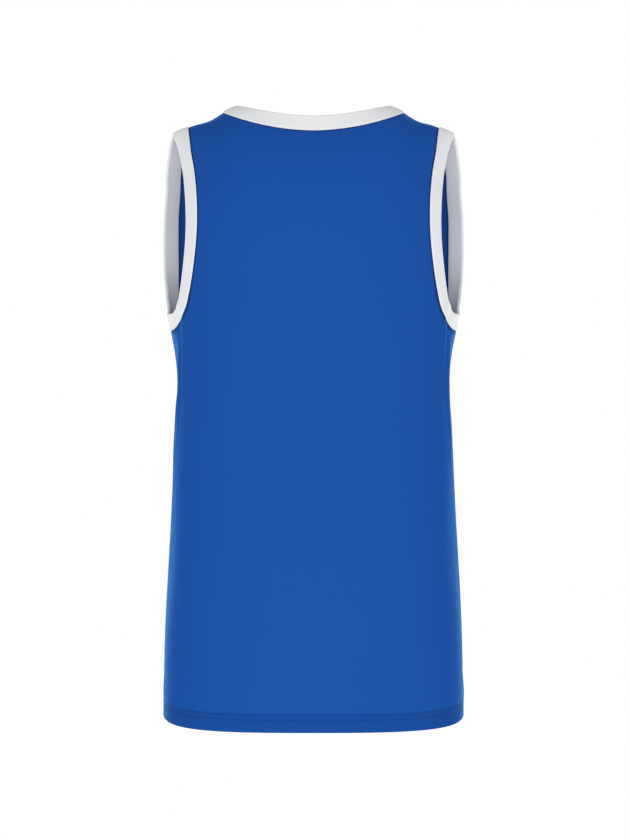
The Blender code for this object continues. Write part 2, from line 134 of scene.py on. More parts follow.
# Soft troughs (depth below 0) and ridges on the wearer's left (1) and right (-1). around is measured
# from the side seam, towards the back above 0 and towards the front below it, and drift is how far
# the fold has moved that way when it reaches its bottom. The rows before the first comment are the
# largest folds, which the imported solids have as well, and the rest are the smaller creases.
Fold = namedtuple("Fold", "around top bottom width depth drift", defaults=(0,))
FOLDS = {
    1: (
        Fold(17, 283, 390, 9.0, -3.4),
        Fold(47, 286, 384, 8.0, 2.2),
        Fold(66, 292, 352, 7.5, -1.6),
        Fold(-20, 285, 398, 8.0, -3.2),
        Fold(-38, 292, 366, 8.0, 2.0),
        Fold(40, 420, 700, 22.0, -2.2),
        Fold(-44, 450, 720, 24.0, -2.4),
        # Ridges that run out of the armhole seam, and the creases between them: back, then front
        Fold(73, 216, 356, 3.8, 1.9, -26),
        Fold(60, 262, 380, 2.6, -1.5, -18),
        Fold(50, 274, 460, 3.6, 1.8, -18),
        Fold(35, 282, 432, 4.2, -2.0, -9),
        Fold(22, 298, 530, 5.2, 1.4, 5),
        Fold(-58, 258, 370, 3.8, 1.7, 14),
        Fold(-46, 274, 396, 2.9, -1.4, 10),
        Fold(-30, 286, 450, 4.8, 1.5, 4),
        Fold(-78, 298, 354, 3.6, -1.0, 9),
        # Long soft folds down the side
        Fold(62, 560, 760, 16.0, -0.8, 14),
        Fold(12, 520, 768, 7.0, 0.9, 4),
        Fold(-70, 540, 765, 18.0, -1.0, -12),
        # Short creases above the hem's corner
        Fold(24, 712, 762, 3.2, 1.1, 7),
        Fold(33, 696, 758, 3.6, -1.0, -6),
        Fold(-26, 705, 762, 3.6, -0.6, 6),
    ),
    -1: (
        Fold(14, 283, 404, 9.0, -3.6),
        Fold(43, 284, 392, 8.5, 2.4),
        Fold(62, 296, 346, 7.0, -1.6),
        Fold(-18, 285, 384, 7.5, -3.0),
        Fold(-37, 290, 356, 8.5, 2.2),
        Fold(42, 400, 690, 24.0, -2.6),
        Fold(-40, 440, 700, 22.0, -2.0),
        # Ridges that run out of the armhole seam, and the creases between them: back, then front
        Fold(70, 224, 344, 3.7, 1.8, -21),
        Fold(56, 260, 392, 2.7, -1.4, -15),
        Fold(45, 282, 490, 4.4, 1.8, -12),
        Fold(30, 288, 416, 4.0, -1.7, -6),
        Fold(-62, 254, 350, 3.7, 1.6, 16),
        Fold(-50, 278, 408, 2.8, -1.5, 12),
        Fold(-28, 290, 438, 4.4, 1.6, 3),
        # Long soft folds down the side
        Fold(70, 500, 735, 18.0, -0.9, -10),
        Fold(16, 470, 768, 7.5, 1.0, -3),
        Fold(-64, 590, 770, 15.0, 0.9, 8),
        # Short creases above the hem's corner
        Fold(27, 708, 764, 3.4, 1.0, -5),
        Fold(-30, 718, 760, 4.2, 0.6, 4),
    ),
}

# ---- What this script adds to that form ----

# The turned-up hem: heights above its edge
HEM_STITCH_ROWS = (15.0, 21.0)
HEM_PAINTED_SHADE_FADE = (21.5, 24.5)  # heights between which the painted shade over the double hem gives way
HEM_INNER_HEIGHTS = (22.5, 21.8, 21.4, 21.0, 20.6, 20.2, 18.0, 15.8, 15.4, 15.0, 14.6, 14.2, 11, 7, 3.5)
HEM_OUTER_HEIGHTS = (2.4, 4.5, 7, 10, 12.5, 13.6, 14.2, 14.6, 15, 15.4, 15.8, 16.6, 18, 19.4, 20.2)
HEM_UPPER_HEIGHTS = (20.6, 21.0, 21.4, 21.8, 22.6, 24.5, 27.5)
HEM_FOLD_STEPS = 7
HEM_FOLD_GAP = 0.2  # between the two layers of the hem
STITCH_DENT = 0.45  # depth of the groove that a row of stitches pulls into the cloth
STITCH_DENT_WIDTH = 0.8
STITCH_GROOVE_PAINTED_SHADE = 2.0  # painted shade in a stitch groove: how much darker the colour is made there, against the hem's painted shade

# Fine rows and columns beside a seam, where the cloth is rolled in
SEAM_STEPS = np.array([0.0, 0.4, 0.8, 1.3, 2.2, 3.6])
ROLL_DEPTH = 0.75
ROLL_WIDTH = 1.4
SEAM_BROAD_HEIGHTS = (-165.0, -265.0)  # between which an armhole seam's roll and painted shade broaden
SEAM_BROAD_SHARE = 0.55  # how much of their width is added by then, as a share of the broad width
SIDE_SEAM_FINENESS = 1.7  # how much narrower a side seam's roll and painted shade are than a band seam's
SHOULDER_ROOTS = np.array([0.5, 0.35, 0.2, 0.116, 0.071, 0.036, 0.0])  # of the top rows' drops
FAR_AWAY = 1000.0  # further than any point lies from a seam

CENTRE_COLUMNS = 24
STRAP_COLUMNS = 24
SIDE_COLUMNS = 42
BODY_ROWS = 108
CHEST_ROWS = 56
TOP_ROWS = {"back": 14, "front": 24}
FAN_TOP_DROP = 400.0  # the side columns' rows below this one are level
CURVE_STEPS = 400
FIT_STEPS = 30
ARC_STEPS = 24
NORMAL_STEP = 0.002  # each way in turn and in the drop's root, to find a normal
UV_SHIFT = (300.0, 30.0)  # keeps the panels' UV maps above 0

BAND_POINTS = {"neck": 300, "arm": 330}
BAND_EDGE_ROLL = 1.0
BAND_EDGE_POINTS = 5
BAND_FACE_POINTS = 12
BAND_TIP_POINTS = 9
BAND_EVEN_PASSES = 160  # times that a band's directions are averaged with their neighbours
BAND_FOLD_HALF = 1.45  # half the thickness at the free edge, where the folded strip stays open
BAND_FOLD_REACH = 7.0
BAND_NODES = {
    "neck": "neck_band",
    "armhole_left": "armhole_band_left",
    "armhole_right": "armhole_band_right",
}

SEAM_CORD_RADIUS = 0.55  # of the sewn edges' roll, which shows as a line between the pieces
SEAM_CORD_DEPTH = 1.15
SEAM_CORD_SIDES = 6
SEAM_PATH_POINTS = 150
SIDE_SEAM_ENDS = (1.0, 2.0)  # left free under the armhole and above the hem's edge
BAND_STITCH_INSET = 2.8  # of the stitches on a band's inner face, from its seam
BAND_STITCH_PITCH = 2.4
STITCH_SHARE = 0.82  # of the pitch that a stitch shows
STITCH_LIFT = (-0.50, -0.05, 0.20, 0.26, 0.20, -0.05, -0.50)  # along a stitch, from the cloth's face
STITCH_SIDES = 5
COVER_REACH = 3.0  # half the height of the looped threads inside the hem
COVER_PHASES = (0.0, 0.5)
COVER_END = 1.5  # distance that the looped threads keep from a side seam
COVER_STEPS = 4  # points to a stitch
COVER_SINK = 0.3  # share of the thread's thickness that it stands off the cloth

# Flat cut of each panel, in metres and square metres
Cut = namedtuple("Cut", "width length area")

# ---- Curves ----


def unit(vectors):
    """Vectors brought to length 1."""
    return vectors / np.linalg.norm(vectors, axis=-1, keepdims=True)


def bell(distance, width):
    """1 at no distance, falling off to both sides as a bell."""
    return np.exp(-((distance / width) ** 2))


def ramp(value, start, end):
    """0 up to the start, 1 from the end on and straight between them."""
    return np.clip((value - start) / (end - start), 0.0, 1.0)


def running_length(points):
    """Length of a line of points from its start to each of them."""
    return np.append(0, np.cumsum(np.linalg.norm(np.diff(points, axis=0), axis=1)))


def smooth(at, knots, values, level_start=False, level_end=False):
    """Cubic curve through the values at the knots, level at an end where that is asked for."""
    knots, values = np.asarray(knots, float), np.asarray(values, float)
    slopes = np.gradient(values, knots)
    if level_start:
        slopes[0] = 0.0
    if level_end:
        slopes[-1] = 0.0
    i = np.clip(np.searchsorted(knots, at) - 1, 0, len(knots) - 2)
    span = knots[i + 1] - knots[i]
    t = np.clip((at - knots[i]) / span, 0.0, 1.0)
    start = (1 + 2 * t) * (1 - t) ** 2 * values[i] + t * (1 - t) ** 2 * span * slopes[i]
    end = t**2 * (3 - 2 * t) * values[i + 1] + t**2 * (t - 1) * span * slopes[i + 1]
    return start + end


def shoulder_line(x):
    """Height of the shoulder line: level over the neck, then falling, with a sag in the strap."""
    past_neck = (np.abs(x) - NECK_EDGE_HALF) / SHOULDER_EASE
    sag = SHOULDER_SAG * bell(np.abs(x) - SHOULDER_SAG_PLACE, SHOULDER_SAG_WIDTH)
    return -SHOULDER_SLOPE * SHOULDER_EASE * np.log1p(np.exp(past_neck)) - sag


def shoulder_share(drop):
    """How much of the shoulder line's fall a section keeps at this drop: a falling half cosine."""
    return np.cos(np.pi / 2 * ramp(drop, 0, SHOULDER_FADE)) ** 2


def section_at(panel, drop):
    """Half-width, reach and roundness of the panel's section at a drop."""
    drops, *columns = SECTIONS[panel]
    return [smooth(drop, drops, column) for column in columns]


def fold_height(side, around, drop):
    """Sum of the folds at a place: a bell across each fold, faded in and out along it."""
    height = np.zeros(np.broadcast(around, drop).shape)
    for fold in FOLDS[side]:
        along = ramp(drop, fold.top, fold.bottom)
        across = bell(around - fold.around - fold.drift * along, fold.width)
        height = height + fold.depth * across * np.sin(np.pi * along) ** 2
    return height


def torso_point(panel, turn, root):
    """Points of the smooth torso, on +X. root is the square root of the drop.

    Each level section is a superellipse, whose reach is rounded off towards the shoulder line by
    a quarter ellipse, and whose height follows the shoulder line near the top.
    """
    drop = root**2
    half_width, reach, roundness = section_at(panel, drop)
    sine, cosine = np.sin(turn), np.cos(turn)
    spread = (np.abs(sine) ** roundness + np.abs(cosine) ** roundness) ** (-1 / roundness)
    cap = np.sqrt(1 - (1 - ramp(drop, 0, CAP_DEPTH[panel])) ** 2)
    x = half_width * spread * sine
    y = reach * cap * spread * cosine + SEAM_GAP / 2
    z = NECK_POINT_HEIGHT + shoulder_line(x) * shoulder_share(drop) - drop
    return np.stack([x, y if panel == "back" else -y, z], axis=-1)


def torso_frame(panel, turn, root):
    """Outward normals and downward directions of the smooth torso, on +X, from small steps each way."""
    step = NORMAL_STEP
    across = torso_point(panel, turn + step, root) - torso_point(panel, turn - step, root)
    down = torso_point(panel, turn, root + step) - torso_point(panel, turn, np.maximum(root - step, 0))
    normal = np.cross(across, down) * (-1 if panel == "front" else 1)
    return unit(normal), unit(down)


def cloth(panel, side, turn, drop):
    """Outer points, normals and downward directions of a panel's cloth, folds included."""
    root = np.sqrt(drop)
    normal, down = torso_frame(panel, turn, root)
    reach = section_at(panel, drop)[1]
    around = (np.pi / 2 - turn) * reach * (1 if panel == "back" else -1)
    point = torso_point(panel, turn, root) + normal * fold_height(side, around, drop)[..., None]
    mirror = (side, 1, 1)
    return point * mirror, normal * mirror, down * mirror


def place_on_torso(panel, x, height):
    """Turn and drop of the torso's point at a half-width and a height, as seen from the front."""
    drop = -height
    for _ in range(FIT_STEPS):
        drop = np.maximum(shoulder_line(x) * shoulder_share(drop) - height, 0.0)
    half_width, _, roundness = section_at(panel, drop)
    share = np.clip(x / half_width, 0.0, 1.0)
    return np.arctan2(share, (1 - share**roundness) ** (1 / roundness)), drop


def neck_seam(panel):
    """Turn and drop along the neck seam, from the centre line to the shoulder."""
    curve = NECK[panel]
    share = np.sin(np.linspace(0, np.pi / 2, CURVE_STEPS))
    shoulder = float(shoulder_line(NECK_SEAM_HALF))
    fullness = (1 - share**curve.outer_power) ** (1 / curve.inner_power)
    return place_on_torso(panel, NECK_SEAM_HALF * share, shoulder - (curve.drop + shoulder) * fullness)


def arm_seam(panel):
    """Turn and drop along the armhole seam, from the shoulder to the underarm."""
    turn, drop = place_on_torso(panel, *np.array(ARM_SEAM[panel]))
    turn[-1], drop[0] = np.pi / 2, 0.0
    root = np.sqrt(drop)
    length = running_length(torso_point(panel, turn, root))
    at = np.linspace(0, length[-1], CURVE_STEPS)
    turn = smooth(at, length, turn, level_start=True)
    root = smooth(at, length, root, level_end=True)
    return even_seam(panel, turn, root)


def even_seam(panel, turn, root):
    """The seam with its half-width averaged under a bell, away from its two ends."""
    x, _, height = torso_point(panel, turn, root).T
    weights = bell(np.linspace(-2, 2, 2 * SEAM_EVEN_STEPS + 1), 1)
    even = np.convolve(np.pad(x, SEAM_EVEN_STEPS, mode="edge"), weights / weights.sum(), mode="valid")
    share = smooth(root**2, SEAM_EVEN_DROPS, (0, 1, 1, 0), level_start=True, level_end=True)
    share = np.clip(share, 0, 1)
    even_turn, even_drop = place_on_torso(panel, x + (even - x) * share, height - NECK_POINT_HEIGHT)
    return np.where(share > 0, even_turn, turn), np.where(share > 0, even_drop, root**2)


def hem_rise(turn, drop):
    """How far the rows near the hem are lifted towards the side seams."""
    return HEM_RISE * np.sin(turn) ** HEM_RISE_POWER * ramp(drop, HEM_RISE_START, HEM_DROP)


# ---- Meshes ----


def grid_faces(number, closed_rows=False, closed_columns=False):
    """Quads between neighbouring points of a grid of vertex numbers, leaving out those below 0."""
    if closed_rows:
        number = np.concatenate([number, number[:1]])
    if closed_columns:
        number = np.concatenate([number, number[:, :1]], axis=1)
    corners = [number[:-1, :-1], number[1:, :-1], number[1:, 1:], number[:-1, 1:]]
    faces = np.stack(corners, axis=-1).reshape(-1, 4)
    return faces[(faces >= 0).all(axis=1)]


def mesh_object(name, points, faces, finish, uv=None, triangles=None):
    """Object with the given points, in millimetres, faces and, where there is one, its UV map."""
    polygons = faces.tolist() + ([] if triangles is None else triangles.tolist())
    mesh = bpy.data.meshes.new(name)
    mesh.from_pydata((points * MM).tolist(), [], polygons)
    mesh.materials.append(finish)
    mesh.shade_smooth()
    if uv is not None:
        corner = np.empty(len(mesh.loops), dtype=np.int32)
        mesh.loops.foreach_get("vertex_index", corner)
        set_uv(mesh, uv[corner])
    made = bpy.data.objects.new(name, mesh)
    bpy.context.scene.collection.objects.link(made)
    return made


def set_uv(mesh, uv):
    """Gives a mesh its UV map, from millimetres at every face corner."""
    mesh.uv_layers.new(name="cloth").uv.foreach_set("vector", (uv * MM).ravel())


def add_wall(piece, wall):
    """Gives a sheet its thickness, on the side away from its normals."""
    solid = piece.modifiers.new("wall", "SOLIDIFY")
    solid.thickness = wall
    solid.offset = -1.0
    solid.use_quality_normals = True


def sideways(paths, normals):
    """Directions across threads that lie on cloth with these normals."""
    return unit(np.cross(normals, np.gradient(paths, axis=1)))


def tubes(paths, across, upward, radius, sides):
    """Thin tubes, open at their ends: a circle carried along each path.

    paths is runs x points x 3, and across and upward are the two directions square to each path.
    Returns the points, the quads and the grid of vertex numbers.
    """
    angle = np.linspace(0, 2 * np.pi, sides, endpoint=False)[:, None]
    circle = across[:, :, None] * np.cos(angle) + upward[:, :, None] * np.sin(angle)
    ring = paths[:, :, None] + circle * radius
    number = np.arange(ring[..., 0].size).reshape(ring.shape[:3])
    ahead = np.roll(number, -1, axis=2)
    corners = [number[:, :-1], number[:, 1:], ahead[:, 1:], ahead[:, :-1]]
    return ring.reshape(-1, 3), np.stack(corners, axis=-1).reshape(-1, 4), number


def capped_tubes(paths, normals, radius, sides):
    """Tubes whose ends are closed with a fan of triangles round an end point."""
    across = sideways(paths, normals)
    points, quads, number = tubes(paths[:, 1:-1], across[:, 1:-1], normals[:, 1:-1], radius, sides)
    first = len(points) + np.arange(len(paths))[:, None]
    ends = (number[:, 0], first), (number[:, -1, ::-1], first + len(paths))
    fans = [np.stack(np.broadcast_arrays(rim, np.roll(rim, -1, axis=1), tip), -1) for rim, tip in ends]
    points = np.concatenate([points, paths[:, 0], paths[:, -1]])
    return points, quads, np.concatenate(fans).reshape(-1, 3)


def settle(piece):
    """Hands a finished piece to the frame: it rides on the one body."""
    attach(piece, BODY)


# ---- Panels ----


def panel_rows(neck_split, arm_split, top_rows):
    """Drops of the rows from the hem's edge upwards, and the places in them of the two splits."""
    hem = HEM_DROP - np.array(HEM_OUTER_HEIGHTS + HEM_UPPER_HEIGHTS)
    beside = SEAM_STEPS[::-1]
    body = np.linspace(hem[-1], arm_split + beside[0], BODY_ROWS + 1)[1:]
    chest = np.linspace(arm_split, neck_split + beside[0], CHEST_ROWS + 1)[1:]
    top = np.linspace(np.sqrt(neck_split), SHOULDER_ROOTS[0], top_rows + 1)[1:-1] ** 2
    lower = np.concatenate([hem, body, arm_split + beside[1:]])
    middle = np.concatenate([lower, chest, neck_split + beside[1:]])
    return np.concatenate([middle, top, SHOULDER_ROOTS**2]), len(lower) - 1, len(middle) - 1


def fan(rows, low, ends):
    """Rows that are level up to a low one and stretched above it, so that the last is at the ends."""
    return rows + (ends - rows[-1]) * ramp(rows, low, rows[-1])


def panel_grid(panel):
    """Turns and drops of half a panel's outer face, by column and row, nan where it has no cloth.

    The centre columns end on the neck seam, the strap columns on the shoulder seam and the side
    columns on the armhole seam. Returned with them are the grid places of the neck seam's and the
    armhole seam's corner.
    """
    neck_turn, neck_drop = neck_seam(panel)
    arm_turn, arm_drop = arm_seam(panel)
    split_angle = np.arcsin(NECK[panel].split_half / NECK_SEAM_HALF)
    neck_split = round(split_angle / (np.pi / 2) * (CURVE_STEPS - 1))
    arm_split = int(np.searchsorted(arm_drop, ARM_SPLIT_DROP[panel]))
    rows, arm_row, neck_row = panel_rows(neck_drop[neck_split], arm_drop[arm_split], TOP_ROWS[panel])
    neck_column, arm_column = CENTRE_COLUMNS, CENTRE_COLUMNS + STRAP_COLUMNS
    below_neck, below_arm = slice(0, neck_row + 1), slice(0, arm_row + 1)
    turn = np.full((arm_column + SIDE_COLUMNS + 1, len(rows)), np.nan)
    drop = np.full_like(turn, np.nan)

    left = np.interp(rows, neck_drop[::-1], neck_turn[::-1])
    left[below_neck] = neck_turn[neck_split]
    right = np.interp(rows, arm_drop, arm_turn)
    right[below_arm] = arm_turn[arm_split]
    beside = SEAM_STEPS / (ARM_SEAM[panel].half_width[0] - NECK_SEAM_HALF)
    middle = np.linspace(beside[-1], 1 - beside[-1], STRAP_COLUMNS - 2 * len(SEAM_STEPS) + 3)
    share = np.concatenate([beside[:-1], middle, 1 - beside[-2::-1]])[:, None]
    turn[neck_column : arm_column + 1] = left + (right - left) * share
    drop[neck_column : arm_column + 1] = rows

    own = neck_turn[neck_split] * np.linspace(0, 1, neck_column + 1)[:-1, None]
    ends = np.interp(own, neck_turn, neck_drop)
    turn[:neck_column, below_neck] = own
    drop[:neck_column, below_neck] = fan(rows[below_neck], rows[arm_row], ends)

    seam_turns = SEAM_STEPS[::-1] / SECTIONS[panel].reach[0]
    sides = np.linspace(arm_turn[arm_split], np.pi / 2 - seam_turns[0], SIDE_COLUMNS - len(SEAM_STEPS) + 2)
    own = np.concatenate([sides[1:], np.pi / 2 - seam_turns[1:]])[:, None]
    ends = np.interp(own, arm_turn[arm_split:], arm_drop[arm_split:])
    turn[arm_column + 1 :, below_arm] = own
    drop[arm_column + 1 :, below_arm] = fan(rows[below_arm], FAN_TOP_DROP, ends)
    return turn, drop - hem_rise(turn, drop), (neck_column, neck_row), (arm_column, arm_row)


def lengths_along(points, axis):
    """Running length along one way of a grid, from its start, 0 over gaps."""
    steps = np.nan_to_num(np.linalg.norm(np.diff(points, axis=axis), axis=-1))
    pad = [(0, 0), (0, 0)]
    pad[axis] = (1, 0)
    return np.cumsum(np.pad(steps, pad), axis=axis)


def seam_distance(points, neck_corner, arm_corner):
    """Distance of each point of half a panel from the nearest seam, along the grid's own lines."""
    down, across = lengths_along(points, 1), lengths_along(points, 0)
    # Distances are shrunk under the armhole, which broadens the roll and the painted shade beside the seam
    # there.
    narrow = 1 - SEAM_BROAD_SHARE * ramp(points[..., 2], *SEAM_BROAD_HEIGHTS)
    far = np.full(points.shape[:2], FAR_AWAY)

    def nearer(columns, rows, distance):
        far[columns, rows] = np.minimum(far[columns, rows], distance)

    (neck_column, neck_row), (arm_column, arm_row) = neck_corner, arm_corner
    centre, strap = slice(0, neck_column + 1), slice(neck_column, arm_column + 1)
    side, every = slice(arm_column, None), slice(None)
    under, over = slice(0, neck_row + 1), slice(neck_row, None)
    nearer(centre, under, down[centre, neck_row, None] - down[centre, under])
    nearer(strap, every, down[strap, -1:] - down[strap])
    nearer(strap, over, across[strap, over] - across[neck_column, over])
    under, over = slice(0, arm_row + 1), slice(arm_row, None)
    nearer(strap, over, (across[arm_column, over] - across[strap, over]) * narrow[strap, over])
    nearer(side, under, (down[side, arm_row, None] - down[side, under]) * narrow[side, under])
    nearer(every, under, SIDE_SEAM_FINENESS * (across[-1, under] - across[:, under]))
    for corner in (neck_corner, arm_corner):
        far = np.fmin(far, np.linalg.norm(points - points[corner], axis=-1) * narrow)
    return np.abs(far)


def roll(distance):
    """How far the cloth dips beside a seam: a quarter circle down to the seam."""
    near = 1 - ramp(distance, 0, ROLL_WIDTH)
    return ROLL_DEPTH * (1 - np.sqrt(1 - near**2))


def stitch_dent(height):
    """Depth of the two grooves that the hem's stitch rows pull into the cloth: a bell across each."""
    return sum(STITCH_DENT * bell(height - row, STITCH_DENT_WIDTH) for row in HEM_STITCH_ROWS)


def arc_from(panel, turn, drop, start_turn, start_drop):
    """Length over the torso from a starting turn and drop, straight in both, to each point."""
    share = np.linspace(0, 1, ARC_STEPS + 1).reshape(-1, *([1] * turn.ndim))
    turns = start_turn + (turn - start_turn) * share
    roots = np.sqrt(start_drop) + (np.sqrt(drop) - np.sqrt(start_drop)) * share
    path = torso_point(panel, turns, roots)
    return np.linalg.norm(np.diff(path, axis=0), axis=-1).sum(axis=0)


def outer_face(panel, side):
    """The turns of half a panel's columns, and its outer face: the cloth, dipped beside seams and
    along stitch rows.

    The face is its points, UVs in millimetres, distances from a seam, the mask of painted shade over the
    double hem and its stitch grooves, and where there is any.
    """
    turn, drop, neck_corner, arm_corner = panel_grid(panel)
    there = ~np.isnan(turn)
    turn, drop = np.where(there, turn, 0.0), np.where(there, drop, 0.0)
    point, normal, _ = cloth(panel, side, turn, drop)
    gaps = np.where(there[..., None], point, np.nan)
    distance = np.where(there, seam_distance(gaps, neck_corner, arm_corner), 0.0)
    edge = HEM_DROP - hem_rise(turn, HEM_DROP)
    dent = stitch_dent(edge - drop)
    point = point - normal * (roll(distance) + dent)[..., None]
    uv = [arc_from(panel, turn, drop, 0.0, drop) * side, arc_from(panel, turn, drop, turn, edge)]
    # Painted shade over the hem: full where the cloth lies double, fading out above it, and deeper in the
    # stitch grooves.
    doubled = 1 - ramp(edge - drop, *HEM_PAINTED_SHADE_FADE) + STITCH_GROOVE_PAINTED_SHADE * dent
    return turn[:, :1], (point, np.stack(uv, axis=-1), distance, doubled, there)


def inner_hem(panel, side, turn, wall):
    """What outer_face gives for a face, of the hem's inner layer on columns with these turns.

    Rows run from the raw edge inside down to the fold and round it in a half circle.
    """
    radius = wall + HEM_FOLD_GAP / 2
    angle = np.linspace(np.pi, 0, HEM_FOLD_STEPS)
    flat = np.array(HEM_INNER_HEIGHTS)
    heights = np.append(flat, np.full(HEM_FOLD_STEPS, radius))
    inset = np.append(np.full(len(flat), 2 * radius), radius * (1 - np.cos(angle)))
    lower = np.append(np.zeros(len(flat)), radius * np.sin(angle))
    turn = np.broadcast_to(turn, (len(turn), len(heights)))
    drop = HEM_DROP - heights - hem_rise(turn, HEM_DROP - heights)
    point, normal, down = cloth(panel, side, turn, drop)
    distance = np.linalg.norm(point[-1:] - point, axis=-1)
    dent = stitch_dent(heights) * (inset > radius)
    point = point - normal * (inset - dent + roll(distance))[..., None] + down * lower[:, None]
    along = np.append(-flat - radius, radius * (1 - 2 * angle / np.pi))
    uv = [arc_from(panel, turn, drop, 0.0, drop) * side, np.broadcast_to(along, turn.shape)]
    # The inner layer gets the hem's full painted shade.
    return point, np.stack(uv, axis=-1), distance, np.ones(turn.shape), np.ones(turn.shape, bool)


def half_panel(panel, side, wall):
    """Half a panel's grid, with rows from the hem's raw edge round its fold and up the outer face."""
    turn, face = outer_face(panel, side)
    return [np.concatenate(both, axis=1) for both in zip(inner_hem(panel, side, turn, wall), face)]


def make_panel(panel, settings, finish):
    """One panel: an open sheet across both halves of the body, given its wall by Solidify."""
    wall = settings.wall / MM
    left, right = half_panel(panel, 1, wall), half_panel(panel, -1, wall)
    points, uv, distance, doubled, there = (np.concatenate([b[:0:-1], a]) for a, b in zip(left, right))
    number = np.where(there, np.cumsum(there.ravel()).reshape(there.shape) - 1, -1)
    faces = grid_faces(number)
    if panel == "back":
        faces = faces[:, ::-1]
    piece = mesh_object(f"{panel}_cloth", points[there], faces, finish, uv[there] + UV_SHIFT)
    # Both attributes feed painted shade: the distance from a seam, and the mask of painted shade over the
    # hem.
    for attribute, values in (("seam_distance", distance), ("doubled", doubled)):
        piece.data.attributes.new(attribute, "FLOAT", "POINT").data.foreach_set("value", values[there])
    add_wall(piece, settings.wall)
    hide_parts(f"{panel}_panel")
    settle(piece)


# ---- Bands ----

Ring = namedtuple("Ring", "points normals lean curl length")


def closed_ring(parts, count):
    """A closed seam at even steps round it, from its stretches' points, normals, lean and curl."""
    points, normals, lean, curl = (np.concatenate(values) for values in zip(*parts))
    length = running_length(np.concatenate([points, points[:1]]))
    at = np.linspace(0, length[-1], count, endpoint=False)

    def even(values):
        values = np.concatenate([values, values[:1]])
        return np.stack([np.interp(at, length, column) for column in values.T], axis=-1)

    lean, curl = even(np.stack([lean, curl], axis=-1)).T
    return Ring(even(points), unit(even(normals)), lean, curl, length[-1])


def evened(directions):
    """Directions round a closed ring, averaged many times with their neighbours."""
    for _ in range(BAND_EVEN_PASSES):
        directions = (np.roll(directions, 1, axis=0) + 2 * directions + np.roll(directions, -1, axis=0)) / 4
    return unit(directions)


def seam_stretch(panel, side, turn, drop):
    """Outer points and normals along a seam, moved back onto the plane between the panels."""
    points, normals, _ = cloth(panel, side, turn, drop)
    shift = SEAM_GAP / 2 * (-1 if panel == "back" else 1)
    return points + (0, shift, 0), normals


def neck_ring():
    """The neck seam once round, from the centre back by the wearer's left."""
    parts = []
    for panel, side, way in (("back", 1, 1), ("front", 1, -1), ("front", -1, 1), ("back", -1, -1)):
        points, normals = seam_stretch(panel, side, *neck_seam(panel))
        half = np.abs(points[:, 0])
        lean = np.radians(NECK_BAND_LEAN[panel]) * np.cos(np.pi / 2 * half / NECK_SEAM_HALF)
        curl = BAND_CURL * bell(NECK_SEAM_HALF - half, NECK_CURL_WIDTH)
        parts.append([values[::way][:-1] for values in (points, normals, lean, curl)])
    return closed_ring(parts, BAND_POINTS["neck"])


def arm_ring(side):
    """An armhole seam once round, from the shoulder down the back and up the front."""
    parts = []
    for panel, way in (("back", 1), ("front", -1)):
        turn, drop = arm_seam(panel)
        points, normals = seam_stretch(panel, side, turn, drop)
        lean = -np.radians(smooth(drop, *ARM_TUCK[panel]))
        curl = BAND_CURL * bell(drop, ARM_CURL_DROP)
        parts.append([values[::way][:-1] for values in (points, normals, lean, curl)])
    return closed_ring(parts, BAND_POINTS["arm"])


def band_rings():
    """The seam of each band, by the band's name."""
    return {"neck": neck_ring(), "armhole_left": arm_ring(1), "armhole_right": arm_ring(-1)}


def band_profile():
    """Face of the folded strip across its width, seam to free edge outside and back inside.

    A quarter round at each seam edge, two faces that part a little towards the free edge, and a half
    circle there, where the fold stays open. Width runs from the seam into the opening, and height is
    above the panel's outer face.
    """
    half, middle = BAND_WALL / 2, -PANEL_WALL / 2
    quarter = np.linspace(np.pi, np.pi / 2, BAND_EDGE_POINTS)
    rise_width = SEAM_GAP / 2 + BAND_EDGE_ROLL * (1 + np.cos(quarter))
    rise = half - BAND_EDGE_ROLL * (1 - np.sin(quarter))
    flat = np.linspace(rise_width[-1], BAND_WIDTH - BAND_FOLD_HALF, BAND_FACE_POINTS)[1:-1]
    tip = np.linspace(np.pi / 2, -np.pi / 2, BAND_TIP_POINTS)
    tip_width = BAND_WIDTH + BAND_FOLD_HALF * (np.cos(tip) - 1)
    width = np.concatenate([rise_width, flat, tip_width, flat[::-1], rise_width[::-1]])
    parting = ramp(flat, BAND_WIDTH - BAND_FOLD_REACH, BAND_WIDTH)
    face = half + (BAND_FOLD_HALF - half) * parting**2 * (3 - 2 * parting)
    height = np.concatenate([rise, face, BAND_FOLD_HALF * np.sin(tip), -face[::-1], -rise[::-1]])
    return width, middle + height


def band_frame(ring):
    """Directions across the seam, into the opening, and up from the cloth, at a ring's points."""
    points, normals = ring.points, ring.normals
    along = np.roll(points, -1, axis=0) - np.roll(points, 1, axis=0)
    inward = unit(np.cross(normals, along))
    if np.sum(inward * (points.mean(axis=0) - points)) < 0:
        inward = -inward
    sine, cosine = np.sin(ring.lean)[:, None], np.cos(ring.lean)[:, None]
    across = evened(inward * cosine + normals * sine)
    upward = evened(normals * cosine - inward * sine)
    upward = unit(upward - across * np.sum(upward * across, axis=1, keepdims=True))
    return across, upward, unit(along)


def band_points(ring, width, height):
    """Points at widths and heights of a band's outline, curled down, for every point round its ring.

    The outline turns about the middle of the panel's edge.
    """
    across, upward, _ = band_frame(ring)
    middle = ring.points - ring.normals * PANEL_WALL / 2
    height = height + PANEL_WALL / 2 - ring.curl[:, None] * (width / BAND_WIDTH) ** 3
    return middle[:, None] + across[:, None] * width[..., None] + upward[:, None] * height[..., None]


